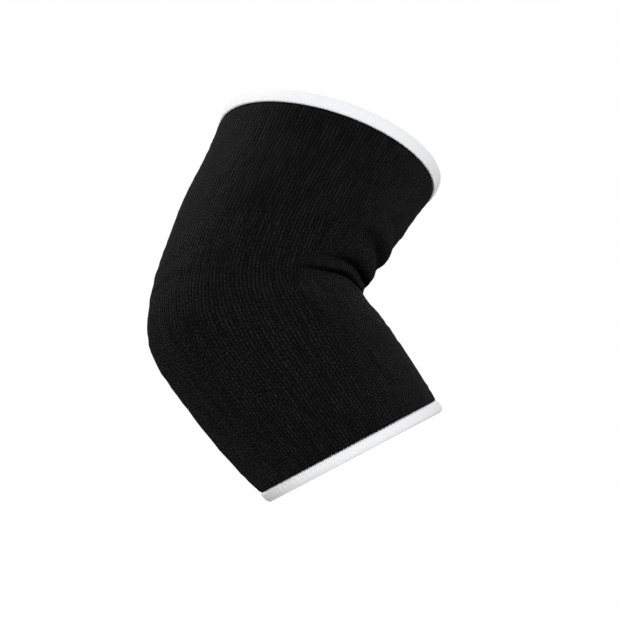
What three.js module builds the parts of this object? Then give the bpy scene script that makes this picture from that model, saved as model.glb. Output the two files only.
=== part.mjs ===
// Elbow brace: a knit compression sleeve, bent as it is worn, with a folded elastic tape round each mouth.
// Millimetres and degrees. The bend lies in the XZ plane: +X leaves the crook, +Z runs up towards the
// upper mouth, and Y is the depth. The origin is the middle of the hollow at the elbow.
import * as THREE from "three";

// The sleeve's main sizes
const upperReach = 91; // elbow to the edge of the upper mouth, along the middle line
const foreReach = 86; // elbow to the edge of the lower mouth, along the middle line
const upperMouthWidth = 108; // from the crook side to the elbow side
const elbowWidth = 100;
const foreMouthWidth = 88;
const depthShare = 0.88; // depth of every section, of its width
const armLean = 57; // how far each half leans from the X axis
const elbowRadius = 18; // how softly the middle line turns at the elbow
const upperMouthTurn = 23; // how far the upper mouth is turned from level
const foreMouthTurn = 25; // how far the lower mouth is turned from level
const wall = 2; // the knit's thickness

// The tape that binds each mouth, folded over the knit's thinned edge
const upperTapeWidth = 6.2;
const foreTapeWidth = 5.2;
const tapeThickness = 1;
const tapeCrown = 0.35; // how far the tape swells between its edge and its fold
const hemShare = 0.5; // the knit's thickness under the tape, of its wall
const clearance = 0.3;

// The crook's folds
const foldDepth = 4;
const foldPuff = 0.7; // how much of each fold's cloth swells up beside it
const foldRise = 10; // how much higher a fold runs at the sleeve's sides than across the crook

// Facets
const aroundSteps = 48;
const alongSteps = 43;
const crookCrowding = 2.2; // how much closer the rows stand at the folds
const crowdingAt = 0.1; // where they stand closest, share of the upper reach
const crowdingSpan = 0.25; // how far the crowding spreads, share of the upper reach

// Sections along the sleeve. along: share of its half length from its middle, below zero towards the lower
// mouth. front and back: from the middle line to the crook side and to the elbow side, shares of the width
// there. point: how far the elbow side narrows to a rounded point, share of the depth.
const sections = [
  { along: -1, front: 0.5, back: 0.5, point: 0 },
  { along: -0.75, front: 0.515, back: 0.54, point: 0 },
  { along: -0.5, front: 0.515, back: 0.57, point: 0.02 },
  { along: -0.25, front: 0.5, back: 0.59, point: 0.08 },
  { along: 0, front: 0.455, back: 0.52, point: 0.1 },
  { along: 0.25, front: 0.49, back: 0.495, point: 0.05 },
  { along: 0.5, front: 0.49, back: 0.495, point: 0 },
  { along: 0.75, front: 0.49, back: 0.485, point: 0 },
  { along: 1, front: 0.5, back: 0.5, point: 0 },
];

// Folds from the crook round both sides. at: where the fold crosses the crook. spread: its half width.
// These two are shares of the upper reach. reach: degrees from the crook to its ends. deep: share of the
// fold depth.
const folds = [
  { at: -0.052, spread: 0.032, reach: 86, deep: 1.3 },
  { at: 0.06, spread: 0.028, reach: 76, deep: 0.6 },
  { at: 0.25, spread: 0.05, reach: 70, deep: 0.45 },
  { at: 0.45, spread: 0.06, reach: 56, deep: 0.2 },
];

const radians = THREE.MathUtils.degToRad;
const halfLength = (upperReach + foreReach) / 2;
const middle = (upperReach - foreReach) / 2;

// Where a distance from the elbow lies, from -1 at the lower mouth to 1 at the upper mouth.
function shareAt(distance) {
  return (distance - middle) / halfLength;
}

// A smooth curve through a value at the lower mouth, at the middle and at the upper mouth.
function acrossSleeve(share, atForeMouth, atMiddle, atUpperMouth) {
  const bow = (atUpperMouth + atForeMouth) / 2 - atMiddle;
  return atMiddle + (share * (atUpperMouth - atForeMouth)) / 2 + share * share * bow;
}

// A column of the section table at a share of the reach, on a smooth curve through the rows.
function sectionValue(share, column) {
  const last = sections.length - 1;
  const above = sections.findIndex((row) => row.along >= share);
  const high = above < 1 ? (above === 0 ? 1 : last) : above;
  const low = high - 1;
  const step = sections[high].along - sections[low].along;
  const slopeAt = (index) => {
    const before = Math.max(index - 1, 0);
    const after = Math.min(index + 1, last);
    const run = sections[after].along - sections[before].along;
    return (sections[after][column] - sections[before][column]) / run;
  };
  const u = (share - sections[low].along) / step;
  const start = sections[low][column];
  const rise = sections[high][column] - start;
  const startSlope = slopeAt(low) * step;
  const endSlope = slopeAt(high) * step;
  return start + u * startSlope + u * u * (3 * rise - 2 * startSlope - endSlope)
    + u * u * u * (startSlope + endSlope - 2 * rise);
}

// The sleeve's smooth outer face, without folds. distance runs along the middle line from the elbow, and
// angle runs round it from the crook.
function smoothFace(distance, angle) {
  const share = shareAt(distance);
  const lean = radians(armLean);
  const centreX = Math.cos(lean) * (Math.hypot(distance, elbowRadius) - elbowRadius);
  const centreZ = Math.sin(lean) * distance;
  const turn = radians(acrossSleeve(share, -foreMouthTurn, 0, upperMouthTurn));
  const width = acrossSleeve(share, foreMouthWidth, elbowWidth, upperMouthWidth);
  const front = width * sectionValue(share, "front");
  const back = width * sectionValue(share, "back");
  const towardsCrook = Math.cos(angle);
  const out = towardsCrook * (towardsCrook > 0 ? front : back);
  const narrowing = 1 - sectionValue(share, "point") * Math.max(0, -towardsCrook);
  const side = 0.5 * depthShare * (front + back) * narrowing * Math.sin(angle);
  return new THREE.Vector3(centreX + out * Math.cos(turn), side, centreZ - out * Math.sin(turn));
}

// The outward direction of the smooth face.
function outwardAt(distance, angle) {
  const nearby = 0.01;
  const round = smoothFace(distance, angle + nearby).sub(smoothFace(distance, angle - nearby));
  const along = smoothFace(distance + nearby, angle).sub(smoothFace(distance - nearby, angle));
  return round.cross(along).normalize();
}

// The rows of stitches rise from the crook to the sleeve's sides along the folds, level at the mouths.
function risenDistance(distance, angle) {
  const share = shareAt(distance);
  const { smoothstep } = THREE.MathUtils;
  const risen = smoothstep(share, -0.6, -0.05) - smoothstep(share, 0.45, 0.9);
  const sideways = Math.cos(angle) > 0 ? Math.sin(angle) ** 2 : 1;
  return distance + foldRise * risen * sideways;
}

// How deep the crook's folds press the knit in at a place on the sleeve.
function foldInset(distance, angle) {
  const fromCrook = Math.abs(THREE.MathUtils.euclideanModulo(angle + Math.PI, 2 * Math.PI) - Math.PI);
  let inset = 0;
  for (const fold of folds) {
    const share = fromCrook / radians(fold.reach);
    if (share >= 1) continue;
    const offset = (distance / upperReach - fold.at) / fold.spread;
    const fade = (1 - share ** 3) ** 1.5;
    const valley = (1 - foldPuff * offset ** 2) * Math.exp(-0.5 * offset ** 2);
    inset += foldDepth * fold.deep * fade * valley;
  }
  return inset;
}

// A point below the sleeve's outer face by an inset, with the folds pressed in.
function placed(distance, angle, inset) {
  const sunk = inset + foldInset(distance, angle);
  const risen = risenDistance(distance, angle);
  return smoothFace(risen, angle).addScaledVector(outwardAt(risen, angle), -sunk);
}

// A closed ring of cloth: the loop of its cut section, carried all the way round the sleeve.
// The loop runs up along the outer side and back down along the inner side.
function clothRing(name, loop, material) {
  const positions = [];
  for (const point of loop) {
    for (let step = 0; step < aroundSteps; step++) {
      const angle = (2 * Math.PI * step) / aroundSteps;
      positions.push(...placed(point.distance, angle, point.inset).toArray());
    }
  }
  const faces = [];
  for (let row = 0; row < loop.length; row++) {
    const nextRow = (row + 1) % loop.length;
    for (let step = 0; step < aroundSteps; step++) {
      const nextStep = (step + 1) % aroundSteps;
      const corner = row * aroundSteps + step;
      const beside = row * aroundSteps + nextStep;
      const above = nextRow * aroundSteps + step;
      const across = nextRow * aroundSteps + nextStep;
      faces.push(corner, beside, across, corner, across, above);
    }
  }
  const geometry = new THREE.BufferGeometry();
  geometry.setAttribute("position", new THREE.Float32BufferAttribute(positions, 3));
  geometry.setIndex(faces);
  geometry.computeVertexNormals();
  const mesh = new THREE.Mesh(geometry, material);
  mesh.name = name;
  return mesh;
}

// Distances from the lower end of the full knit to its upper end, closer together at the crook's folds.
function knitRows() {
  const low = foreTapeWidth - foreReach;
  const high = upperReach - upperTapeWidth;
  const samples = 400;
  const reached = [0];
  for (let sample = 0; sample < samples; sample++) {
    const distance = low + ((high - low) * (sample + 0.5)) / samples;
    const offset = (distance / upperReach - crowdingAt) / crowdingSpan;
    reached.push(reached[sample] + 1 + crookCrowding * Math.exp(-offset * offset));
  }
  const distances = [];
  for (let row = 0; row <= alongSteps; row++) {
    const wanted = (reached[samples] * row) / alongSteps;
    const sample = row === alongSteps ? samples : reached.findIndex((value) => value >= wanted);
    distances.push(low + ((high - low) * sample) / samples);
  }
  return distances;
}

// The sleeve's cut: the full knit, with a thinner hem at each mouth that the tape is folded over.
const hemTop = wall * (1 - hemShare);
const hemEnd = tapeThickness + clearance;
const fullKnit = knitRows();
const sleeveLoop = [
  ...fullKnit.map((distance) => ({ distance, inset: 0 })),
  { distance: upperReach - upperTapeWidth, inset: hemTop },
  { distance: upperReach - hemEnd, inset: hemTop },
  { distance: upperReach - hemEnd, inset: wall },
  ...fullKnit.map((distance) => ({ distance, inset: wall })).reverse(),
  { distance: hemEnd - foreReach, inset: wall },
  { distance: hemEnd - foreReach, inset: hemTop },
  { distance: foreTapeWidth - foreReach, inset: hemTop },
];

// The tape's cut, from the mouth's edge inwards: a crowned outer leg, a round fold over the knit's edge,
// a flat inner leg and the slot that holds the hem.
function tapeLoop(tapeWidth) {
  const outside = hemTop - clearance - tapeThickness;
  const inside = wall + clearance + tapeThickness;
  const legEnd = tapeWidth - clearance;
  const foldMiddle = (inside + outside) / 2;
  const foldRadius = (inside - outside) / 2;
  const foldStart = Math.min(foldRadius, tapeWidth / 2);
  const loop = [];
  for (const share of [0, 0.3, 0.65]) {
    const crown = tapeCrown * Math.sin(Math.PI * share);
    loop.push({ from: THREE.MathUtils.lerp(legEnd, foldStart, share), inset: outside - crown });
  }
  for (const degrees of [0, 36, 72, 108, 144, 180]) {
    const from = foldStart * (1 - Math.sin(radians(degrees)));
    loop.push({ from, inset: foldMiddle - foldRadius * Math.cos(radians(degrees)) });
  }
  loop.push({ from: (foldStart + legEnd) / 2, inset: inside });
  loop.push({ from: legEnd, inset: inside });
  loop.push({ from: legEnd, inset: wall + clearance });
  loop.push({ from: tapeThickness, inset: wall + clearance });
  loop.push({ from: tapeThickness, inset: hemTop - clearance });
  loop.push({ from: legEnd, inset: hemTop - clearance });
  return loop;
}

const upperLoop = tapeLoop(upperTapeWidth).map(({ from, inset }) => ({ distance: upperReach - from, inset }));
const foreLoop = tapeLoop(foreTapeWidth).map(({ from, inset }) => ({ distance: from - foreReach, inset }));

const knitBlack = new THREE.MeshStandardMaterial({ color: 0x161617, roughness: 0.95, metalness: 0 });
const upperWhite = new THREE.MeshStandardMaterial({ color: 0xeef1f4, roughness: 0.85, metalness: 0 });
const foreWhite = upperWhite.clone();

const brace = new THREE.Group();
brace.add(clothRing("knit_sleeve", sleeveLoop, knitBlack));
brace.add(clothRing("upper_binding", upperLoop, upperWhite));
brace.add(clothRing("lower_binding", foreLoop.reverse(), foreWhite));

export default brace;
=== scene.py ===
"""Elbow brace: a black knit sleeve, bent as it is worn, with a folded white tape at each mouth.

Everything is in metres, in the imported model's frame: +X leaves the crook, +Z runs up to the upper mouth,
and Y is the depth. A distance runs along the sleeve's middle line from the elbow, below zero to the lower
mouth. An angle runs round that line from the crook, in radians where nothing else is said.
"""

import logging
import math
from contextlib import contextmanager
from dataclasses import dataclass
from enum import Enum
from typing import Iterator

import bpy
import numpy as np
from mathutils import Matrix, Vector


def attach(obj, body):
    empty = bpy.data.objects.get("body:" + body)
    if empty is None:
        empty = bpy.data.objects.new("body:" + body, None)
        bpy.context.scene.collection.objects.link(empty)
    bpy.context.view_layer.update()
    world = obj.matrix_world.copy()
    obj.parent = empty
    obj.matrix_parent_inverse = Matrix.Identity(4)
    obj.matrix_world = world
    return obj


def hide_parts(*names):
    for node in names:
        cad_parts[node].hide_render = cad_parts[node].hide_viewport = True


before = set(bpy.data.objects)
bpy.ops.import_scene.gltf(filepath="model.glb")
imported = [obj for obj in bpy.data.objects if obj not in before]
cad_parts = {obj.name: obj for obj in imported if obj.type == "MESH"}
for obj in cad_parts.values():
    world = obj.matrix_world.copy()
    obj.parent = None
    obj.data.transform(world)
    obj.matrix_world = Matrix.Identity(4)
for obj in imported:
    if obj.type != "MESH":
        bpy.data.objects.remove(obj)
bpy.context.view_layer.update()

log = logging.getLogger("elbow_brace")

MM = 0.001
FULL_TURN = 2 * math.pi
SEAM = 1e-6
UV_NAME = "UVMap"
# name of the vertex attribute that holds the painted shade in the folds' creases
CREASE_SHADE_NAME = "crease_shade"

Piece = bpy.types.Object
Values = np.ndarray
Options = dict | None


class Mouth(Enum):
    """The sleeve's two open ends, with the way that distances run towards each."""

    UPPER = 1
    FOREARM = -1


@dataclass(frozen=True)
class Section:
    """A cut across the sleeve.

    along is the share of its half length from its middle. front and back run from the middle line to the
    crook side and to the elbow side, as shares of the width there. point is how far the elbow side narrows.
    """

    along: float
    front: float
    back: float
    point: float


@dataclass(frozen=True)
class Fold:
    """A fold from the crook round both sides.

    at is the distance where it crosses the crook, and spread its half width. blunt is 1 for a sharp cleft
    and 2 for a round valley. reach is where it ends, in degrees from the crook. deep is a share of the fold
    depth, of which at_crook is left right in the crook. climb is how much higher it runs at the sleeve's
    sides, and climb_from the angle where it starts to climb. dark is how much of the light its valley loses.
    """

    at: float
    spread: float
    blunt: float
    reach: float
    deep: float
    at_crook: float
    climb: float
    climb_from: float
    dark: float


def smoothstep(value: Values, low: float, high: float) -> Values:
    """A smooth step from 0 at low to 1 at high."""
    share = np.clip((value - low) / (high - low), 0, 1)
    return share * share * (3 - 2 * share)


@dataclass(frozen=True)
class SleeveForm:
    """The sleeve's worn form, as a surface over distance and angle.

    Angles are in degrees here. A mouth's turn is reached at turned_by of the way to it. fold_puff is the
    height of the rolls beside a fold, a share of its depth, and puff_spread their reach in half widths of
    it, as shade_spread is its shade's. A fold gets its full depth between tight_from and tight_at. The rows
    climb with the folds from climb_foot to climb_head, shares of the two reaches, and come down between
    level_from and level_at.
    """

    upper_reach: float = 91 * MM
    fore_reach: float = 86 * MM
    upper_mouth_width: float = 108 * MM
    elbow_width: float = 100 * MM
    fore_mouth_width: float = 88 * MM
    depth_share: float = 0.88
    half_lean: float = 57
    elbow_radius: float = 18 * MM
    upper_mouth_turn: float = 21.5
    fore_mouth_turn: float = 25.1
    turned_by: float = 0.93
    wall: float = 2 * MM
    fold_depth: float = 5 * MM
    fold_puff: float = 0.24
    puff_spread: float = 2.6
    shade_spread: float = 1.2
    tight_from: float = 8
    tight_at: float = 34
    climb_foot: float = -0.6
    climb_head: float = 0.9
    climb_to: float = 56
    far_climb: float = 8 * MM
    far_climb_from: float = -30
    far_climb_to: float = 50
    level_from: float = 150
    level_at: float = 180
    sections: tuple[Section, ...] = (
        Section(-1, 0.526, 0.49, 0),
        Section(-0.75, 0.52, 0.54, 0),
        Section(-0.5, 0.515, 0.57, 0.02),
        Section(-0.25, 0.5, 0.59, 0.08),
        Section(0, 0.455, 0.52, 0.1),
        Section(0.25, 0.49, 0.495, 0.05),
        Section(0.5, 0.49, 0.495, 0),
        Section(0.75, 0.49, 0.485, 0),
        Section(1, 0.5, 0.5, 0),
    )
    folds: tuple[Fold, ...] = (
        Fold(-0.7 * MM, 1.25 * MM, 1.0, 94, 1.8, 0.5, 5.4 * MM, 28, 2.0),
        Fold(9.3 * MM, 2.2 * MM, 1.2, 84, 1.3, 0.15, 3.2 * MM, 30, 1.1),
        Fold(22.8 * MM, 4.2 * MM, 2.0, 74, 0.85, 0.45, 9 * MM, 10, 0.65),
        Fold(41 * MM, 5.2 * MM, 2.0, 60, 0.25, 0.6, 7 * MM, 10, 0.1),
    )

    def reach(self, mouth: Mouth) -> float:
        """The distance from the elbow to a mouth's edge."""
        return self.upper_reach if mouth is Mouth.UPPER else self.fore_reach

    def share_at(self, distance: Values) -> Values:
        """Where a distance lies, from -1 at the lower mouth to 1 at the upper mouth."""
        middle = (self.upper_reach - self.fore_reach) / 2
        return (distance - middle) / ((self.upper_reach + self.fore_reach) / 2)

    @staticmethod
    def across_sleeve(share: Values, at_fore: float, at_middle: float, at_upper: float) -> Values:
        """A smooth curve through values at the lower mouth, the middle and the upper mouth."""
        bow = (at_upper + at_fore) / 2 - at_middle
        return at_middle + share * (at_upper - at_fore) / 2 + share * share * bow

    def section_value(self, share: Values, column: str) -> Values:
        """A column of the sections on a smooth curve through its rows.

        Args:
            share: places along the sleeve, from -1 to 1.
            column: the name of the section's field.

        Returns:
            The value at each place.
        """
        along = np.array([row.along for row in self.sections])
        values = np.array([getattr(row, column) for row in self.sections])
        slopes = np.gradient(values, along)
        high = np.clip(np.searchsorted(along, share), 1, len(along) - 1)
        low = high - 1
        step = along[high] - along[low]
        u = (share - along[low]) / step
        rise = values[high] - values[low]
        start_slope = slopes[low] * step
        end_slope = slopes[high] * step
        bend = 3 * rise - 2 * start_slope - end_slope
        twist = start_slope + end_slope - 2 * rise
        curve = u * u * bend + u**3 * twist
        return values[low] + u * start_slope + curve

    def smooth_face(self, distance: Values, angle: Values) -> Values:
        """Points of the outer face without its folds.

        Args:
            distance: along the middle line.
            angle: round it.

        Returns:
            Points, with X, Y and Z along the last axis.
        """
        share = self.share_at(distance)
        lean = math.radians(self.half_lean)
        centre_x = math.cos(lean) * (np.hypot(distance, self.elbow_radius) - self.elbow_radius)
        centre_z = math.sin(lean) * distance
        turning = np.clip(share / self.turned_by, -1, 1)
        turn = np.radians(self.across_sleeve(turning, -self.fore_mouth_turn, 0, self.upper_mouth_turn))
        width = self.across_sleeve(share, self.fore_mouth_width, self.elbow_width, self.upper_mouth_width)
        front = width * self.section_value(share, "front")
        back = width * self.section_value(share, "back")
        towards_crook = np.cos(angle)
        out = towards_crook * np.where(towards_crook > 0, front, back)
        narrowing = 1 - self.section_value(share, "point") * np.maximum(0, -towards_crook)
        side = 0.5 * self.depth_share * (front + back) * narrowing * np.sin(angle)
        return np.stack([centre_x + out * np.cos(turn), side, centre_z - out * np.sin(turn)], axis=-1)

    def outward(self, distance: Values, angle: Values) -> Values:
        """The outward direction of the smooth face.

        Args:
            distance: along the middle line.
            angle: round it.

        Returns:
            Unit vectors, with X, Y and Z along the last axis.
        """
        nearby = 1e-5
        turned = 1e-3
        around = self.smooth_face(distance, angle + turned) - self.smooth_face(distance, angle - turned)
        along = self.smooth_face(distance + nearby, angle) - self.smooth_face(distance - nearby, angle)
        normal = np.cross(around, along)
        return normal / np.linalg.norm(normal, axis=-1, keepdims=True)

    @staticmethod
    def from_crook(angle: Values) -> Values:
        """Degrees from the crook, above zero on the sleeve's far side."""
        return np.degrees(np.mod(angle + np.pi, FULL_TURN) - np.pi)

    def risen(self, distance: Values, angle: Values) -> Values:
        """Where the rows of stitches run, which climb with the folds from the crook to the sides.

        Args:
            distance: along the middle line, at the crook.
            angle: round it.

        Returns:
            The distance that each row has reached at its angle.
        """
        foot = self.climb_foot * self.fore_reach
        head = self.climb_head * self.upper_reach
        knots = [foot, *(fold.at for fold in self.folds), head]
        turned = self.from_crook(angle)
        on_far_side = self.far_climb * smoothstep(turned, self.far_climb_from, self.far_climb_to)
        rise = np.zeros(np.broadcast(distance, angle).shape)
        for index, fold in enumerate(self.folds):
            share = np.interp(distance, knots, np.eye(len(knots))[index + 1])
            on_near_side = fold.climb * smoothstep(-turned, fold.climb_from, self.climb_to)
            rise += share * (on_near_side + on_far_side)
        return distance + rise * (1 - smoothstep(np.abs(turned), self.level_from, self.level_at))

    def fold_inset(self, distance: Values, angle: Values) -> Values:
        """How deep the folds press the knit in.

        Args:
            distance: along the middle line.
            angle: round it.

        Returns:
            The depth at each place, below zero on the rolls beside a fold.
        """
        turned = np.abs(self.from_crook(angle))
        away = smoothstep(turned, self.tight_from, self.tight_at)
        inset = np.zeros(np.broadcast(distance, angle).shape)
        for fold in self.folds:
            share = np.clip(turned / fold.reach, 0, 1)
            offset = np.abs(distance - fold.at) / fold.spread
            fade = (1 - share**3) ** 1.5
            valley = np.exp(-(offset**fold.blunt))
            roll = self.fold_puff * np.exp(-((offset / self.puff_spread) ** 2))
            pressed = fold.at_crook + (1 - fold.at_crook) * away
            inset += self.fold_depth * fold.deep * fade * (pressed * valley - roll)
        return inset

    def fold_shade(self, distance: Values, angle: Values) -> Values:
        """How much of the light the folds' valleys lose.

        Args:
            distance: along the middle line.
            angle: round it.

        Returns:
            The share lost at each place, from 0 to 1.
        """
        turned = np.abs(self.from_crook(angle))
        shade = np.zeros(np.broadcast(distance, angle).shape)
        for fold in self.folds:
            share = np.clip(turned / fold.reach, 0, 1)
            offset = (distance - fold.at) / (self.shade_spread * fold.spread)
            shade += fold.dark * (1 - share**2) * np.exp(-(offset**2))
        return np.clip(shade, 0, 1)

    def placed(self, distance: Values, angle: Values, inset: Values) -> Values:
        """Points below the folded outer face.

        Args:
            distance: along the middle line.
            angle: round it.
            inset: the depth below the outer face, above it where negative.

        Returns:
            Points, with X, Y and Z along the last axis.
        """
        risen = self.risen(distance, angle)
        sunk = np.asarray(inset + self.fold_inset(distance, angle))
        return self.smooth_face(risen, angle) - self.outward(risen, angle) * sunk[..., None]


class Signal:
    """A shader socket that takes part in Python expressions."""

    def __init__(self, board: "NodeBoard", socket: bpy.types.NodeSocket) -> None:
        """Keeps the socket and the board that it lies on."""
        self.board = board
        self.socket = socket

    def math(self, operation: str, *others: "Signal | float") -> "Signal":
        """Adds a Math node on this and the others."""
        return self.board.calculate(operation, self, *others)

    def __add__(self, other: "Signal | float") -> "Signal":
        """This plus other."""
        return self.math("ADD", other)

    def __sub__(self, other: "Signal | float") -> "Signal":
        """This minus other."""
        return self.math("SUBTRACT", other)

    def __rsub__(self, other: float) -> "Signal":
        """A number minus this."""
        return self.board.calculate("SUBTRACT", other, self)

    def __mul__(self, other: "Signal | float") -> "Signal":
        """This times other."""
        return self.math("MULTIPLY", other)

    __radd__ = __add__
    __rmul__ = __mul__

    def clamped(self) -> "Signal":
        """This, no lower than 0."""
        return self.math("MAXIMUM", 0.0)

    def wave(self) -> "Signal":
        """A smooth wave from 0 to 1, one for each unit."""
        return (self * FULL_TURN).math("SINE") * 0.5 + 0.5


class NodeBoard:
    """A tree of shader nodes while it is laid out."""

    def __init__(self, tree: bpy.types.NodeTree) -> None:
        """Clears the tree."""
        self.tree = tree
        self.tree.nodes.clear()

    def node(self, kind: str, settings: Options = None, sockets: Options = None) -> bpy.types.Node:
        """Adds a node.

        Args:
            kind: the node's type.
            settings: properties, set first.
            sockets: values or signals for the inputs, by name or number.

        Returns:
            The node.
        """
        made = self.tree.nodes.new(kind)
        for name, value in (settings or {}).items():
            setattr(made, name, value)
        for key, value in (sockets or {}).items():
            if isinstance(value, Signal):
                self.tree.links.new(value.socket, made.inputs[key])
            else:
                made.inputs[key].default_value = value
        return made

    def signal(
        self, kind: str, output: str | int, settings: Options = None, sockets: Options = None
    ) -> Signal:
        """Adds a node and wraps one of its outputs."""
        return Signal(self, self.node(kind, settings, sockets).outputs[output])

    def calculate(self, operation: str, *operands: Signal | float) -> Signal:
        """Adds a Math node on the operands."""
        return self.signal("ShaderNodeMath", 0, {"operation": operation}, dict(enumerate(operands)))

    def split(self, vector: Signal) -> tuple[Signal, ...]:
        """A vector's X, Y and Z."""
        parts = self.node("ShaderNodeSeparateXYZ", sockets={"Vector": vector})
        return tuple(Signal(self, parts.outputs[axis]) for axis in "XYZ")

    def mix(self, factor: Signal, first: tuple | Signal, second: tuple | Signal) -> Signal:
        """Mixes two colours."""
        chosen = {0: factor, 6: first, 7: second}
        return self.signal("ShaderNodeMix", 2, {"data_type": "RGBA", "clamp_factor": True}, chosen)

    def shader_mix(self, factor: Signal, first: Signal, second: Signal) -> Signal:
        """Mixes two shaders."""
        return self.signal("ShaderNodeMixShader", 0, sockets={0: factor, 1: first, 2: second})


@dataclass(frozen=True)
class Grain:
    """A layer of noise: its cells for each unit across and along, its detail, and its gain and lift."""

    across: float
    along: float
    detail: float = 2
    gain: float = 1
    lift: float = 0


class MaterialBoard(NodeBoard):
    """A material's nodes while a finish is laid out on them."""

    def __init__(self, name: str) -> None:
        """Starts an empty material.

        Args:
            name: the material's name.
        """
        self.material = bpy.data.materials.new(name)
        self.material.use_nodes = True
        super().__init__(self.material.node_tree)

    def weave_coordinates(self) -> tuple[Signal, Signal]:
        """Reads the shares round the sleeve and along the cloth from the piece's own UV map."""
        around, along, _ = self.split(self.signal("ShaderNodeUVMap", "UV", {"uv_map": UV_NAME}))
        return around, along

    def grain(self, layer: Grain, across: Signal, along: Signal) -> Signal:
        """Lays a layer of noise over two signals.

        Args:
            layer: the noise.
            across: the signal across the cloth.
            along: the signal along it.

        Returns:
            The noise, times its gain and raised by its lift.
        """
        cell = {"X": across * layer.across, "Y": along * layer.along}
        place = self.signal("ShaderNodeCombineXYZ", "Vector", sockets=cell)
        wanted = {"Vector": place, "Scale": 1.0, "Detail": layer.detail, "Roughness": 0.5}
        noise = self.signal("ShaderNodeTexNoise", 0, {"noise_dimensions": "2D"}, wanted)
        return noise * layer.gain + layer.lift

    def relief(self, height: Signal, depth: float, strength: float = 1.0) -> Signal:
        """The normal of a surface that rises by depth where height is 1."""
        wanted = {"Strength": strength, "Distance": depth, "Height": height}
        return self.signal("ShaderNodeBump", "Normal", sockets=wanted)

    def principled(self, sockets: dict) -> Signal:
        """Adds a Principled shader."""
        return self.signal("ShaderNodeBsdfPrincipled", "BSDF", sockets=sockets)


class Finish:
    """How a surface looks."""

    def shader(self, board: MaterialBoard) -> Signal:
        """Lays out the surface's nodes, which each finish does in its own way."""
        raise NotImplementedError

    def material(self, name: str) -> bpy.types.Material:
        """Makes the finish's material.

        Args:
            name: the material's name.

        Returns:
            The material.
        """
        board = MaterialBoard(name)
        board.node("ShaderNodeOutputMaterial", sockets={"Surface": self.shader(board)})
        return board.material


@dataclass(frozen=True)
class KnitFinish(Finish):
    """Matte black ribbed knit: wales along the sleeve, small V stitches in each, and a soft fuzz.

    slant is how far a stitch drops from the middle of its wale to the groove, in courses. shift moves each
    wale's stitches along it, own is each wale's brightness, speck the yarn's unevenness, patches the
    cloth's, and ripple its fine waves.
    """

    wales: int = 190
    courses: int = 128
    slant: float = 0.5
    shift: Grain = Grain(3.7, 0.09, gain=4)
    own: Grain = Grain(2.3, 0.1, gain=2)
    speck: Grain = Grain(1.9, 1.7, gain=3.8, lift=-1.15)
    patches: Grain = Grain(14, 9, detail=3, gain=0.4, lift=0.8)
    ripple: Grain = Grain(22, 95, detail=1)
    stitch_light: float = 0.6
    wale_light: float = 0.27
    crown_rise: float = 0.5
    stitch_rise: float = 0.4
    speck_rise: float = 0.2
    ripple_rise: float = 0.45
    bump_depth: float = 0.28 * MM
    # painted shade: the colour below is painted into the grooves between wales and stitches, where shade
    # falls
    groove_shade_colour: tuple = (0.0008, 0.0008, 0.0009, 1)
    yarn_colour: tuple = (0.0135, 0.0135, 0.0141, 1)
    # painted shade: the near-black colour below is painted into the folds' creases, where shade falls
    crease_shade_colour: tuple = (0.001, 0.001, 0.0011, 1)
    specular: float = 0.02
    roughness: float = 0.65
    sheen: float = 0.042
    sheen_roughness: float = 0.36

    def shader(self, board: MaterialBoard) -> Signal:
        """Lays out the knit, with painted shade in the folds' creases, where a matte near-black shader
        without fuzz is mixed in.
        """
        around, along = board.weave_coordinates()
        wale = around * self.wales
        course = along * self.courses
        within = wale.math("FRACT")
        number = wale - within
        off_middle = ((within - 0.5) * 2).math("ABSOLUTE")
        crown = 1 - off_middle.math("POWER", 2)
        stitch = (course + off_middle * self.slant + board.grain(self.shift, number, course)).wave()
        own = board.grain(self.own, number, course).clamped()
        speck = board.grain(self.speck, wale, course)
        patches = board.grain(self.patches, around, along)
        ripple = board.grain(self.ripple, around, along)
        # painted shade: the colour darkens from the crowns of the wales and stitches into the grooves
        # between them, where shade falls; own, speck and patches are the yarn's own uneven tone
        lit = crown * (stitch * self.stitch_light + self.wale_light) * own * speck.clamped() * patches
        risen = crown * self.crown_rise + crown * stitch * self.stitch_rise
        height = risen + speck * self.speck_rise + ripple * self.ripple_rise
        fuzzy = board.principled({
            "Base Color": board.mix(lit, self.groove_shade_colour, self.yarn_colour),
            "Roughness": self.roughness,
            "Specular IOR Level": self.specular,
            "Sheen Weight": self.sheen,
            "Sheen Roughness": self.sheen_roughness,
            "Normal": board.relief(height, self.bump_depth),
        })
        # painted shade: a flat near-black shader, mixed in by each vertex's crease value, stands in for the
        # shade in the folds' creases
        pressed = board.principled({
            "Base Color": self.crease_shade_colour,
            "Roughness": 1.0,
            "Specular IOR Level": 0.0,
        })
        crease_shade = board.signal("ShaderNodeAttribute", "Fac", {"attribute_name": CREASE_SHADE_NAME})
        return board.shader_mix(crease_shade, fuzzy, pressed)


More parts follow.
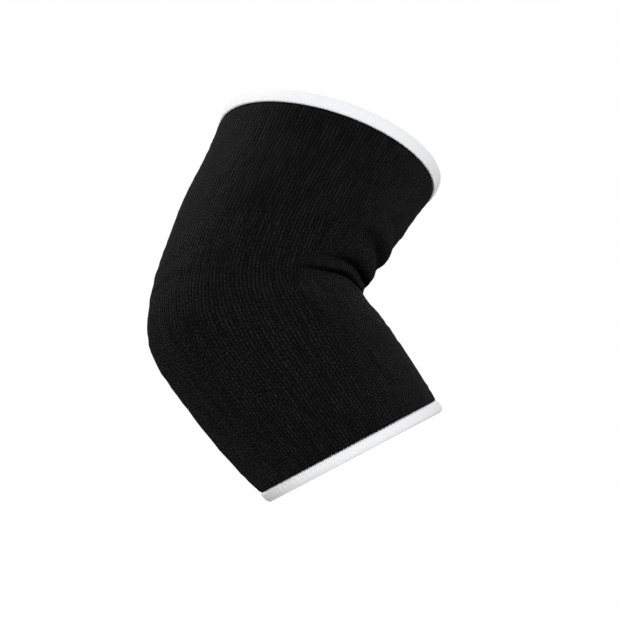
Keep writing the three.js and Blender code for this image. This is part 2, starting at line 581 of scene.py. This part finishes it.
@dataclass(frozen=True)
class TapeFinish(Finish):
    """Bluish white woven elastic tape, with fine ribs across it, cords along it and a soft mottle."""

    ribs: int = 420
    rows: int = 26
    mottle: Grain = Grain(160, 14, detail=3)
    bright: tuple = (0.78, 0.79, 0.805, 1)
    shaded: tuple = (0.66, 0.67, 0.685, 1)
    mottle_light: float = 0.5
    weave_light: float = 0.6
    rib_rise: float = 0.5
    cord_rise: float = 0.4
    mottle_rise: float = 0.6
    bump_depth: float = 0.14 * MM
    bump_strength: float = 0.8
    roughness: float = 0.88
    specular: float = 0.25
    sheen: float = 0.1

    def shader(self, board: MaterialBoard) -> Signal:
        """Lays out the tape."""
        around, along = board.weave_coordinates()
        rib = (around * self.ribs).wave()
        cord = (along * self.rows).wave()
        mottle = board.grain(self.mottle, around, along)
        light = mottle * self.mottle_light + rib * cord * self.weave_light
        height = rib * self.rib_rise + cord * self.cord_rise + mottle * self.mottle_rise
        return board.principled({
            "Base Color": board.mix(light, self.shaded, self.bright),
            "Roughness": self.roughness,
            "Specular IOR Level": self.specular,
            "Sheen Weight": self.sheen,
            "Normal": board.relief(height, self.bump_depth, self.bump_strength),
        })


@dataclass(frozen=True)
class ThreadFinish(Finish):
    """White sewing thread, its plies twisted round it."""

    plies: float = 3
    twists: float = 5
    # painted shade: valley is the colour painted into the twist's valleys, ply the colour on the plies'
    # crowns
    valley: tuple = (0.7, 0.71, 0.73, 1)
    ply: tuple = (0.9, 0.91, 0.93, 1)
    bump_depth: float = 0.05 * MM
    bump_strength: float = 0.7
    roughness: float = 0.8

    def shader(self, board: MaterialBoard) -> Signal:
        """Lays out the thread."""
        around, along = board.weave_coordinates()
        twist = (around * self.plies + along * self.twists).wave()
        return board.principled({
            # painted shade: the colour darkens from the plies' crowns into the valleys of their twist, where
            # shade falls
            "Base Color": board.mix(twist, self.valley, self.ply),
            "Roughness": self.roughness,
            "Normal": board.relief(twist, self.bump_depth, self.bump_strength),
        })


@dataclass(frozen=True)
class FloorFinish(Finish):
    """A plain pale studio floor, which fades into the white surround far from its middle."""

    low: tuple = (0.86, 0.86, 0.86, 1)
    high: tuple = (0.9, 0.9, 0.9, 1)
    near_glow: tuple = (0, 0, 0, 1)
    far_glow: tuple = (1, 1, 1, 1)
    fade_from: float = 0.4
    fade_over: float = 1.8
    cloud_scale: float = 3.0
    roughness: float = 0.9

    def shader(self, board: MaterialBoard) -> Signal:
        """Lays out the floor."""
        place = board.signal("ShaderNodeTexCoord", "Object")
        cloud = board.signal("ShaderNodeTexNoise", 0, sockets={"Vector": place, "Scale": self.cloud_scale})
        away = board.signal("ShaderNodeVectorMath", "Value", {"operation": "LENGTH"}, {0: place})
        fade = (away - self.fade_from) * (1 / self.fade_over)
        return board.principled({
            "Base Color": board.mix(cloud, self.low, self.high),
            "Roughness": self.roughness,
            "Emission Color": board.mix(fade, self.near_glow, self.far_glow),
            "Emission Strength": 1.0,
        })


def deselect_all() -> None:
    """Leaves nothing selected, since an operator acts on all that is."""
    if bpy.context.object and bpy.context.object.mode != "OBJECT":
        bpy.ops.object.mode_set(mode="OBJECT")
    bpy.ops.object.select_all(action="DESELECT")


def select_pieces(*pieces: Piece) -> None:
    """Selects some pieces and nothing else, with the last of them active.

    Args:
        pieces: the pieces.
    """
    deselect_all()
    for piece in pieces:
        piece.select_set(True)
    bpy.context.view_layer.objects.active = pieces[-1]


@contextmanager
def edit_mode(piece: Piece, select_all: bool = True) -> Iterator[None]:
    """Edits one piece's mesh.

    Args:
        piece: the piece.
        select_all: whether all of it is selected at the start, in place of what was selected before.
    """
    select_pieces(piece)
    bpy.ops.object.mode_set(mode="EDIT")
    if select_all:
        bpy.ops.mesh.select_all(action="SELECT")
    yield
    bpy.ops.object.mode_set(mode="OBJECT")


def corners(piece: Piece) -> Values:
    """Reads a piece's vertices.

    Args:
        piece: the piece.

    Returns:
        A row for each vertex.
    """
    values = np.empty(len(piece.data.vertices) * 3)
    piece.data.vertices.foreach_get("co", values)
    return values.reshape(-1, 3)


def cloth_grid(name: str, columns: int, rows: int) -> tuple[Piece, Values, Values]:
    """Adds a flat grid with a UV map, ready to be wrapped round the sleeve.

    Args:
        name: the piece's name.
        columns: faces round the sleeve.
        rows: faces along the cloth.

    Returns:
        The grid's piece, and the angle round the sleeve and the row that each vertex is meant for.
    """
    deselect_all()
    bpy.ops.mesh.primitive_grid_add(x_subdivisions=columns, y_subdivisions=rows, size=2, calc_uvs=True)
    piece = bpy.context.object
    piece.name = name
    piece.data.name = name
    flat = corners(piece)
    return piece, (flat[:, 0] + 1) * np.pi, (flat[:, 1] + 1) / 2 * rows


def place_corners(piece: Piece, points: Values) -> None:
    """Moves a piece's vertices."""
    piece.data.vertices.foreach_set("co", np.ascontiguousarray(points, dtype=np.float64).ravel())
    piece.data.update()


def unroll_by_distance(piece: Piece, distance: Values) -> None:
    """Makes a piece's UV map run evenly along the cloth, in place of evenly over its rows.

    Args:
        piece: the piece.
        distance: how far along the cloth each of its vertices lies.
    """
    layer = piece.data.uv_layers.active.data
    uv = np.empty(len(layer) * 2, dtype=np.float32)
    layer.foreach_get("uv", uv)
    vertex = np.empty(len(layer), dtype=np.int32)
    piece.data.loops.foreach_get("vertex_index", vertex)
    uv = uv.reshape(-1, 2)
    uv[:, 1] = (distance[vertex] - distance.min()) / np.ptp(distance)
    layer.foreach_set("uv", uv.ravel())


def signed_volume(piece: Piece) -> float:
    """The volume that a closed piece encloses.

    Args:
        piece: the piece.

    Returns:
        Cubic metres, below zero where the piece is inside out.
    """
    points = corners(piece)
    piece.data.calc_loop_triangles()
    index = np.empty(len(piece.data.loop_triangles) * 3, dtype=np.int32)
    piece.data.loop_triangles.foreach_get("vertices", index)
    a, b, c = (points[index.reshape(-1, 3)[:, corner]] for corner in range(3))
    return float(np.einsum("ij,ij->i", a, np.cross(b, c)).sum() / 6)


def merge_seams(piece: Piece) -> None:
    """Merges a piece's vertices where its grid meets itself."""
    with edit_mode(piece):
        bpy.ops.mesh.remove_doubles(threshold=SEAM)


def close_and_face_out(piece: Piece) -> None:
    """Merges a closed piece's seams, points its faces outwards and shades it smooth.

    Args:
        piece: the piece.
    """
    merge_seams(piece)
    with edit_mode(piece):
        bpy.ops.mesh.normals_make_consistent(inside=False)
    if signed_volume(piece) < 0:
        with edit_mode(piece):
            bpy.ops.mesh.flip_normals()
    select_pieces(piece)
    bpy.ops.object.shade_smooth()


def select_edges(piece: Piece, edges: list[bpy.types.MeshEdge]) -> None:
    """Selects some of a piece's edges and nothing else on it.

    Args:
        piece: the piece, out of edit mode.
        edges: the edges.
    """
    mesh = piece.data
    for elements in (mesh.vertices, mesh.edges, mesh.polygons):
        elements.foreach_set("select", [False] * len(elements))
    for edge in edges:
        edge.select = True
        for corner in edge.vertices:
            mesh.vertices[corner].select = True


def settle(piece: Piece, node: str | None) -> None:
    """Joins a finished piece to the frame.

    Args:
        piece: the piece.
        node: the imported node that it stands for, if any.
    """
    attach(piece, "root")
    if node:
        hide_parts(node)
    log.info("%s: %d faces", piece.name, len(piece.data.polygons))


@dataclass(frozen=True)
class TapeSizes:
    """The tape's sizes, and the knit's thinned edge inside its fold."""

    upper_width: float = 6.85 * MM
    fore_width: float = 5.4 * MM
    thickness: float = 1 * MM
    crown: float = 0.35 * MM
    hem_share: float = 0.5
    clearance: float = 0.3 * MM
    upper_stitch_back: float = 0.32 * MM
    fore_stitch_back: float = 0.1 * MM

    def width(self, mouth: Mouth) -> float:
        """The tape's width at a mouth."""
        return self.upper_width if mouth is Mouth.UPPER else self.fore_width

    def stitch_back(self, mouth: Mouth) -> float:
        """How far the middle of each stitch lies from the tape's inner edge, towards the mouth."""
        return self.upper_stitch_back if mouth is Mouth.UPPER else self.fore_stitch_back

    def outside(self, wall: float) -> float:
        """The inset of the tape's outer face on a knit of that wall, below zero where it stands proud."""
        return wall * (1 - self.hem_share) - self.clearance - self.thickness


@dataclass(frozen=True)
class Waves:
    """Smooth random waves: turns is the most round the cloth, and longest the longest along it."""

    seed: int
    turns: int
    longest: float
    shortest_share: float = 0.3
    count: int = 14

    def height(self, distance: Values, angle: Values) -> Values:
        """The waves' height.

        Args:
            distance: along the middle line.
            angle: round it.

        Returns:
            The height at each place, about 1 at most.
        """
        rng = np.random.default_rng(self.seed)
        height = np.zeros(np.broadcast(distance, angle).shape)
        for _ in range(self.count):
            around = rng.integers(1, self.turns)
            length = rng.uniform(self.shortest_share, 1) * self.longest
            phases = rng.uniform(0, FULL_TURN, 2)
            along = np.sin(FULL_TURN * distance / length + phases[1])
            height += np.sin(around * angle + phases[0]) * along
        return height * 2 / math.sqrt(self.count)


@dataclass
class KnitSleeve:
    """The black knit tube with its wales in relief, its folds and a thinned hem under each tape.

    dip is a low place beside each tape. The knit sinks under the tape's edge between slope_from and
    slope_to. wander is how far a wale strays to its sides, in wales.
    """

    form: SleeveForm
    tape: TapeSizes
    finish: KnitFinish
    steps_per_wale: int = 4
    rows: int = 112
    inner_columns: int = 110
    samples: int = 2000
    groove: float = 0.22 * MM
    groove_power: int = 3
    dip: float = 0.35 * MM
    dip_run: float = 1.5 * MM
    slope_from: float = -0.2 * MM
    slope_to: float = 0.4 * MM
    crook_crowding: float = 5.5
    crook_at: float = 7 * MM
    crook_run: float = 11 * MM
    hem_crowding: float = 2
    hem_run: float = 9 * MM
    unevenness: float = 0.09 * MM
    uneven_waves: Waves = Waves(7, 7, 14 * MM)
    wander: float = 0.12
    wander_waves: Waves = Waves(5, 16, 60 * MM)

    def cloth_rows(self) -> Values:
        """Spaces the rows of faces along the cloth, closer together at the folds and the hems.

        Returns:
            Distances from one hem's end to the other's.
        """
        hem_end = self.tape.thickness + self.tape.clearance
        lowest = hem_end - self.form.fore_reach
        dense = np.linspace(lowest, self.form.upper_reach - hem_end, self.samples)
        density = 1 + self.crook_crowding * np.exp(-(((dense - self.crook_at) / self.crook_run) ** 2))
        for mouth in Mouth:
            inwards = self.form.reach(mouth) - mouth.value * dense
            density += self.hem_crowding * np.exp(-((inwards / self.hem_run) ** 2))
        reached = np.concatenate([[0], np.cumsum((density[1:] + density[:-1]) / 2)])
        return np.interp(np.linspace(0, reached[-1], self.rows + 1), reached, dense)

    def hem_inset(self, distance: Values) -> Values:
        """How far the knit sinks under each tape and in the dip beside it.

        Args:
            distance: along the middle line.

        Returns:
            The depth at each place.
        """
        full = self.form.wall * (1 - self.tape.hem_share)
        inset = np.zeros_like(distance)
        for mouth in Mouth:
            inwards = self.form.reach(mouth) - self.tape.width(mouth) - mouth.value * distance
            under = 1 - smoothstep(inwards, self.slope_from, self.slope_to)
            beside = np.exp(-((np.maximum(inwards, 0) / self.dip_run) ** 2))
            inset += np.maximum(full * under, self.dip * beside)
        return inset

    def wrap(self, name: str, columns: int, outside: bool) -> Piece:
        """Wraps one face of the cloth into the sleeve's form.

        Args:
            name: the piece's name.
            columns: faces round the sleeve.
            outside: whether it is the outer face.

        Returns:
            The open tube.
        """
        piece, angle, row = cloth_grid(name, columns, self.rows)
        distance = np.interp(row, np.arange(self.rows + 1), self.cloth_rows())
        unroll_by_distance(piece, distance)
        inset = self.unevenness * self.uneven_waves.height(distance, angle)
        if outside:
            phase = np.mod(angle / FULL_TURN * self.finish.wales, 1)
            valley = np.abs(2 * phase - 1) ** self.groove_power
            inset += self.groove * valley + self.hem_inset(distance)
            wale = FULL_TURN / self.finish.wales
            angle = angle + self.wander * wale * self.wander_waves.height(distance, angle)
            # painted shade: each vertex's share of shade in the folds' creases, which darkens the knit's
            # colour there
            crease_shade = piece.data.attributes.new(CREASE_SHADE_NAME, "FLOAT", "POINT")
            crease_shade.data.foreach_set("value", self.form.fold_shade(distance, angle))
        else:
            inset += self.form.wall
        place_corners(piece, self.form.placed(distance, angle, inset))
        merge_seams(piece)
        return piece

    def close_hem(self, piece: Piece, mouth: Mouth) -> None:
        """Bridges the two faces' open edges at a mouth.

        Args:
            piece: both faces of the cloth.
            mouth: the mouth.
        """
        with edit_mode(piece):
            bpy.ops.mesh.region_to_loop()
        heights = corners(piece)[:, 2] * mouth.value
        rims = [edge for edge in piece.data.edges if edge.select]
        select_edges(piece, [edge for edge in rims if heights[edge.vertices[0]] > 0])
        with edit_mode(piece, select_all=False):
            bpy.ops.mesh.bridge_edge_loops()

    def build(self) -> Piece:
        """Builds the sleeve with both faces and its two hems, and dresses it.

        Returns:
            The sleeve.
        """
        outer = self.wrap("sleeve_knit", self.finish.wales * self.steps_per_wale, True)
        inner = self.wrap("sleeve_inner_face", self.inner_columns, False)
        select_pieces(inner, outer)
        bpy.ops.object.join()
        for mouth in Mouth:
            self.close_hem(outer, mouth)
        close_and_face_out(outer)
        outer.data.materials.append(self.finish.material("black_knit"))
        settle(outer, "knit_sleeve")
        return outer


@dataclass
class TapeBinding:
    """A white elastic tape folded over a mouth's edge, puckered along its line of stitches.

    channel_at is how far the sewn channel lies from the tape's inner edge, which is rounded by edge_round
    at the degrees in edge_steps.
    """

    form: SleeveForm
    tape: TapeSizes
    mouth: Mouth
    finish: TapeFinish
    columns: int = 480
    leg_rows: int = 10
    fold_rows: int = 10
    channel_at: float = 1.2 * MM
    channel_run: float = 0.5 * MM
    channel_depth: float = 0.14 * MM
    puckers: int = 92
    pucker_run: float = 1 * MM
    pucker_depth: float = 0.1 * MM
    outer_leg_depth: float = 0.6 * MM
    edge_round: float = 0.3 * MM
    edge_steps: tuple[float, ...] = (0, 30, 60)
    fold_bulge: float = 0.8 * MM

    def leg_end(self) -> float:
        """How far the tape's legs reach inwards from the mouth's edge."""
        return self.tape.width(self.mouth) - self.tape.clearance

    def cut(self) -> list[tuple[float, float]]:
        """Draws the folded tape's section: outer leg, round fold, inner leg and the hem's slot.

        Returns:
            The corners of the closed loop, each the distance inwards from the mouth's edge and the inset.
        """
        outside = self.tape.outside(self.form.wall)
        slot_top = outside + self.tape.thickness
        slot_bottom = self.form.wall + self.tape.clearance
        inside = slot_bottom + self.tape.thickness
        leg_end = self.leg_end()
        radius = (inside - outside) / 2
        loop = [(leg_end, slot_top), (leg_end, (slot_top + outside) / 2)]
        for degrees in self.edge_steps:
            turned = math.radians(degrees)
            back = self.edge_round * (1 - math.cos(turned))
            loop.append((leg_end - back, outside + self.edge_round * (1 - math.sin(turned))))
        start = leg_end - self.edge_round
        for share in np.linspace(0, 1, self.leg_rows)[:-1]:
            place = start + (self.fold_bulge - start) * share
            off_channel = (leg_end - place - self.channel_at) / self.channel_run
            sink = self.channel_depth * math.exp(-(off_channel**2))
            loop.append((place, outside - self.tape.crown * math.sin(math.pi * share) + sink))
        for turned in np.linspace(0, math.pi, self.fold_rows):
            place = self.fold_bulge * (1 - math.sin(turned))
            loop.append((place, (inside + outside) / 2 - radius * math.cos(turned)))
        slot_end = self.tape.thickness
        inner_leg = [((self.fold_bulge + leg_end) / 2, inside), (leg_end, inside), (leg_end, slot_bottom)]
        return loop + inner_leg + [(slot_end, slot_bottom), (slot_end, slot_top), (leg_end, slot_top)]

    def build(self) -> Piece:
        """Builds the tape all the way round its mouth, and dresses it.

        Returns:
            The tape.
        """
        loop = np.array(self.cut())
        name = f"{self.mouth.name.lower()}_tape"
        piece, angle, row = cloth_grid(name, self.columns, len(loop) - 1)
        inwards = np.interp(row, np.arange(len(loop)), loop[:, 0])
        inset = np.interp(row, np.arange(len(loop)), loop[:, 1])
        near_stitches = np.exp(-(((self.leg_end() - inwards - self.channel_at) / self.pucker_run) ** 2))
        on_face = inset < self.tape.outside(self.form.wall) + self.outer_leg_depth
        inset = inset + on_face * near_stitches * self.pucker_depth * np.sin(self.puckers * angle)
        distance = self.mouth.value * (self.form.reach(self.mouth) - inwards)
        place_corners(piece, self.form.placed(distance, angle, inset))
        close_and_face_out(piece)
        piece.data.materials.append(self.finish.material(f"{name}_weave"))
        node = "upper_binding" if self.mouth is Mouth.UPPER else "lower_binding"
        settle(piece, node)
        return piece


@dataclass
class EdgeStitches:
    """Short white stitches that hold a tape's edge down on the knit.

    Each lies across the edge, from on_knit below the knit's face up to the tape's, which it climbs to
    between rise_from and rise_to of its length. uneven is the random share of its length and place.
    """

    form: SleeveForm
    tape: TapeSizes
    mouth: Mouth
    finish: ThreadFinish
    pitch: float = 0.95 * MM
    half_length: float = 0.6 * MM
    radius: float = 0.19 * MM
    bluntness: float = 0.6
    slant: float = 0.1 * MM
    arch: float = 0.14 * MM
    on_knit: float = 0.15 * MM
    rise_from: float = 0.25
    rise_to: float = 0.6
    segments: int = 8
    rings: int = 8
    samples: int = 721
    uneven: float = 0.12
    seed: int = 11

    def thread(self) -> Piece:
        """Models one stitch, a short thread along Z with blunt ends.

        Returns:
            The stitch, 1 in radius and half length.
        """
        deselect_all()
        bpy.ops.mesh.primitive_uv_sphere_add(segments=self.segments, ring_count=self.rings, radius=1)
        stitch = bpy.context.object
        points = corners(stitch)
        from_axis = np.hypot(points[:, 0], points[:, 1])
        pole = 1e-6
        blunt = np.where(from_axis > pole, np.maximum(from_axis, pole) ** -self.bluntness, 1)
        points[:, :2] *= blunt[:, None]
        place_corners(stitch, points)
        return stitch

    def build(self) -> Piece:
        """Copies the stitch round the mouth as one joined piece, and dresses it.

        Returns:
            The stitches.
        """
        stitch = self.thread()
        sideways, upwards, endways = corners(stitch).T
        edge = self.form.reach(self.mouth) - self.tape.width(self.mouth) + self.tape.clearance
        turns = np.linspace(0, FULL_TURN, self.samples)
        around = self.form.placed(np.full_like(turns, self.mouth.value * edge), turns, turns * 0)
        lengths = np.concatenate([[0], np.cumsum(np.linalg.norm(np.diff(around, axis=0), axis=1))])
        count = int(lengths[-1] / self.pitch) // 2 * 2
        starts = np.interp(np.arange(count) * lengths[-1] / count, lengths, turns)
        mean_radius = lengths[-1] / FULL_TURN
        climb = self.tape.outside(self.form.wall) - self.on_knit
        base = self.on_knit + climb * smoothstep((endways + 1) / 2, self.rise_from, self.rise_to)
        height = upwards * self.radius + self.arch * (1 - endways**2)
        rng = np.random.default_rng(self.seed)
        points = []
        for index, angle in enumerate(starts):
            way = 1 if index % 2 else -1
            length = self.half_length * (1 + rng.uniform(-self.uneven, self.uneven))
            across = sideways * self.radius + way * self.slant * endways
            across = across + rng.uniform(-self.uneven, self.uneven) * self.pitch
            distance = self.mouth.value * (edge + self.tape.stitch_back(self.mouth) + endways * length)
            points.append(self.form.placed(distance, angle + across / mean_radius, base - height))
        piece = self.join_copies(stitch, np.concatenate(points), count)
        piece.data.materials.append(self.finish.material(f"{piece.name}_thread"))
        settle(piece, None)
        return piece

    def join_copies(self, stitch: Piece, points: Values, count: int) -> Piece:
        """Joins copies of the stitch's mesh, its faces put in one order, because a new sphere's can vary.

        Args:
            stitch: the modelled stitch, removed afterwards.
            points: the vertices of all copies, one copy after the other.
            count: how many copies there are.

        Returns:
            The joined piece.
        """
        source = stitch.data
        name = f"{self.mouth.name.lower()}_stitches"
        ordered = sorted(source.polygons, key=lambda polygon: tuple(polygon.vertices))
        faces = [tuple(polygon.vertices) for polygon in ordered]
        unrolled = source.uv_layers.active.data
        uv = [tuple(unrolled[loop].uv) for polygon in ordered for loop in polygon.loop_indices]
        size = len(source.vertices)
        mesh = bpy.data.meshes.new(name)
        moved = [tuple(corner + copy * size for corner in face) for copy in range(count) for face in faces]
        mesh.from_pydata([tuple(point) for point in points], [], moved)
        layer = mesh.uv_layers.new(name=UV_NAME)
        layer.data.foreach_set("uv", np.array(uv * count, dtype=np.float32).ravel())
        piece = bpy.data.objects.new(name, mesh)
        bpy.context.scene.collection.objects.link(piece)
        bpy.data.objects.remove(stitch)
        close_and_face_out(piece)
        return piece


@dataclass(frozen=True)
class Lamp:
    """A soft round lamp that faces the brace."""

    name: str
    place: tuple[float, float, float]
    width: float
    power: float

    def hang(self) -> None:
        """Adds the lamp to the scene."""
        lamp = bpy.data.lights.new(self.name, "AREA")
        lamp.shape = "DISK"
        lamp.size = self.width
        lamp.energy = self.power
        holder = bpy.data.objects.new(self.name, lamp)
        holder.location = self.place
        holder.rotation_euler = (-Vector(self.place)).to_track_quat("-Z", "Y").to_euler()
        bpy.context.scene.collection.objects.link(holder)


@dataclass
class Studio:
    """A pale floor, soft lights, a white surround and the camera at the photograph's angle.

    The surround is seen white, but it lights the brace by glow_level, which rises by glow_right towards +X
    and by glow_up overhead, and falls by glow_back towards the back.
    """

    floor_height: float = -0.3
    floor_side: float = 40.0
    camera_azimuth: float = -20.53
    camera_elevation: float = -15.71
    camera_roll: float = -4.84
    camera_distance: float = 0.781
    lens: float = 100
    sensor: float = 36
    aim_right: float = 21.25 * MM
    aim_up: float = -3.45 * MM
    glow_level: float = 0.88
    glow_right: float = 0.05
    glow_up: float = 0.05
    glow_back: float = 1.4
    dim: tuple = (0.06, 0.06, 0.06, 1)
    white: tuple = (1.0, 1.0, 1.0, 1)
    lamps: tuple[Lamp, ...] = (
        Lamp("key", (-0.4, -1.3, 0.0), 0.8, 6.4),
        Lamp("fill", (-1.2, -0.4, -0.8), 0.8, 5.5),
        Lamp("edge", (-1.0, 0.8, 1.2), 0.7, 19.0),
        Lamp("rear", (0.8, 1.0, 0.9), 0.8, 5.0),
    )

    def lay_floor(self) -> None:
        """Lays the floor and gives it its finish."""
        deselect_all()
        bpy.ops.mesh.primitive_plane_add(size=self.floor_side, location=(0, 0, self.floor_height))
        floor = bpy.context.object
        floor.name = "floor"
        floor.data.materials.append(FloorFinish().material("pale_floor"))
        floor.visible_diffuse = False
        floor.visible_glossy = False

    def light(self) -> None:
        """Adds the white surround and the soft lamps."""
        world = bpy.data.worlds.new("surround")
        world.use_nodes = True
        board = NodeBoard(world.node_tree)
        right, backwards, height = board.split(board.signal("ShaderNodeTexCoord", "Generated"))
        sideways = right * self.glow_right + height * self.glow_up
        glow = board.mix(sideways - backwards * self.glow_back + self.glow_level, self.dim, self.white)
        lit = board.signal("ShaderNodeBackground", 0, sockets={"Color": glow})
        plain = board.signal("ShaderNodeBackground", 0, sockets={"Color": self.white})
        seen = board.signal("ShaderNodeLightPath", "Is Camera Ray")
        board.node("ShaderNodeOutputWorld", sockets={"Surface": board.shader_mix(seen, lit, plain)})
        bpy.context.scene.world = world
        for lamp in self.lamps:
            lamp.hang()

    def stand_camera(self) -> None:
        """Stands the camera where the photograph was taken from."""
        azimuth = math.radians(self.camera_azimuth)
        elevation = math.radians(self.camera_elevation)
        level = math.cos(elevation)
        back = Vector((math.sin(azimuth) * level, -math.cos(azimuth) * level, math.sin(elevation)))
        place = back * self.camera_distance
        right, up = self.rolled_axes(back)
        aim = right * self.aim_right + up * self.aim_up
        back = (place - aim).normalized()
        right, up = self.rolled_axes(back)
        camera = bpy.data.objects.new("camera", bpy.data.cameras.new("camera"))
        camera.data.lens = self.lens
        camera.data.sensor_width = self.sensor
        turned = Matrix((right, up, back)).transposed().to_4x4()
        camera.matrix_world = Matrix.Translation(place) @ turned
        bpy.context.scene.collection.objects.link(camera)
        bpy.context.scene.camera = camera

    def rolled_axes(self, back: Vector) -> tuple[Vector, Vector]:
        """Turns the camera by its roll.

        Args:
            back: the way from what the camera looks at towards it.

        Returns:
            The camera's right and up.
        """
        roll = math.radians(self.camera_roll)
        cosine = math.cos(roll)
        sine = math.sin(roll)
        right = (-back).cross(Vector((0, 0, 1))).normalized()
        up = right.cross(-back)
        return right * cosine + up * sine, up * cosine - right * sine


def main() -> None:
    """Builds the studio and the brace."""
    logging.basicConfig(level=logging.INFO, format="%(message)s")
    bpy.context.scene.view_settings.view_transform = "Standard"
    studio = Studio()
    studio.stand_camera()
    studio.lay_floor()
    studio.light()
    form = SleeveForm()
    tape = TapeSizes()
    knit = KnitSleeve(form, tape, KnitFinish()).build()
    for mouth in Mouth:
        TapeBinding(form, tape, mouth, TapeFinish()).build()
        EdgeStitches(form, tape, mouth, ThreadFinish()).build()


if __name__ == "__main__":
    main()
